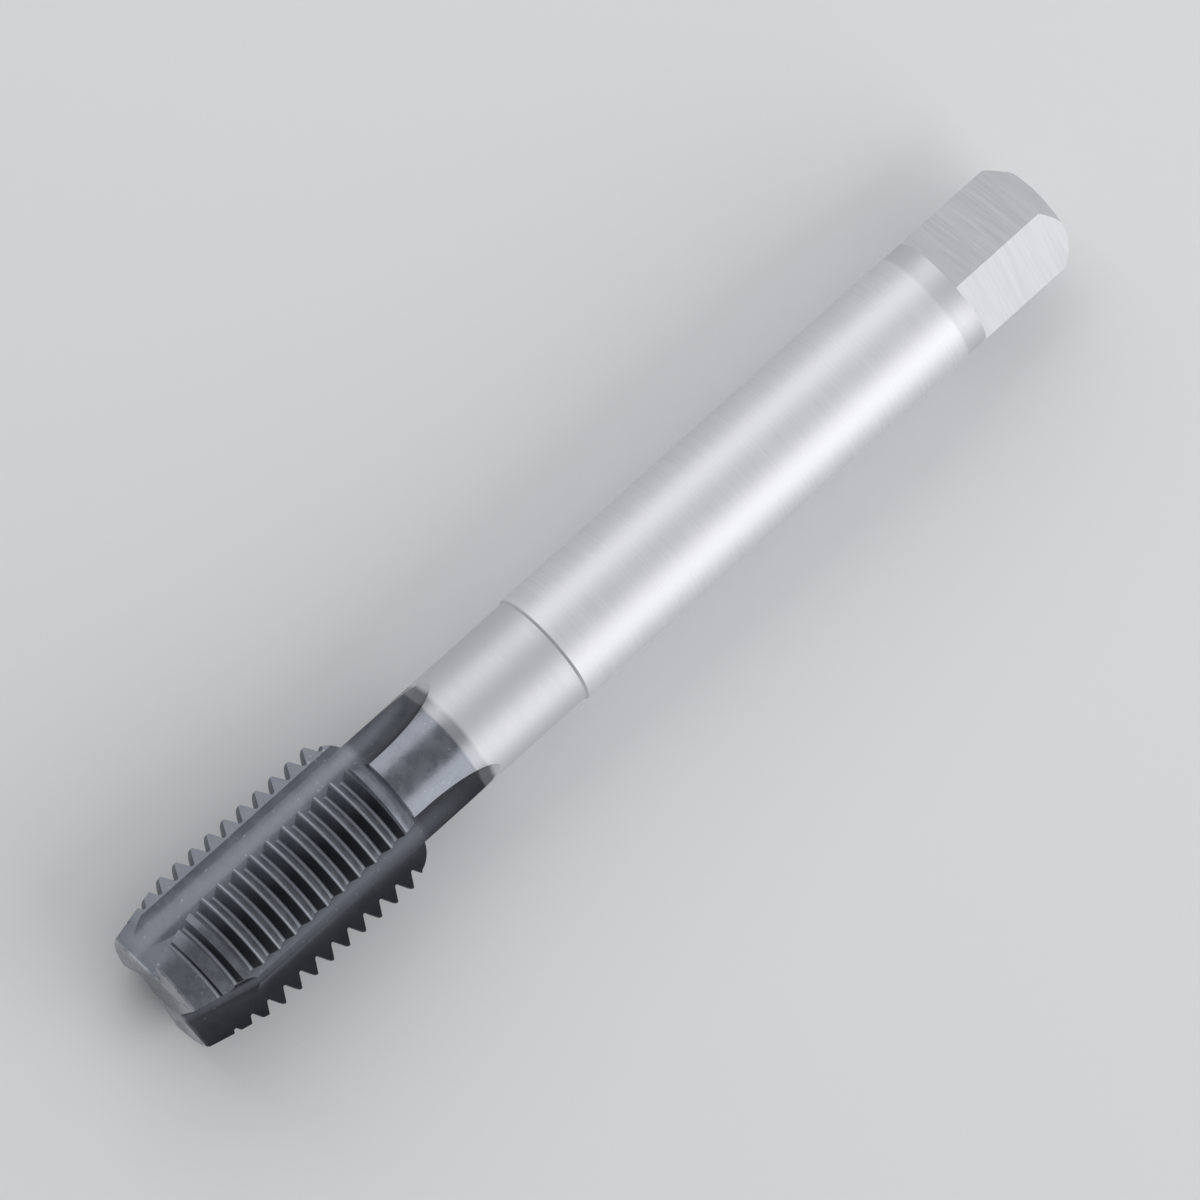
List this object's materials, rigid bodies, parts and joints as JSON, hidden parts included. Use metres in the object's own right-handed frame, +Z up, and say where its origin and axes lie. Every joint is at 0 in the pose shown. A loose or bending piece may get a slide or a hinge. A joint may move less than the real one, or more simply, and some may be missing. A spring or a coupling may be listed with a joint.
{
  "type": "spiral point tap",
  "caption": "Machine tap with a spiral point: a fluted and threaded cutting head on a slimmer neck, and a round shank with a driving square at its end.",
  "frame": {"origin": "on the surface that the tap lies on, below its axis and halfway between the tip and the driving end", "axes": "+X along the axis from the cutting tip to the driving square, +Z up through the middle of the upper land, +Y level across the tap"},
  "size_m": [0.11, 0.0164, 0.0153],
  "materials": {
    "tool_steel": "satin ground steel, with a dark matt coating on the cutting head and the front of the neck"
  },
  "bodies": {
    "root": {"spiral_point_tap": "tool_steel"}
  },
  "joints": []
}
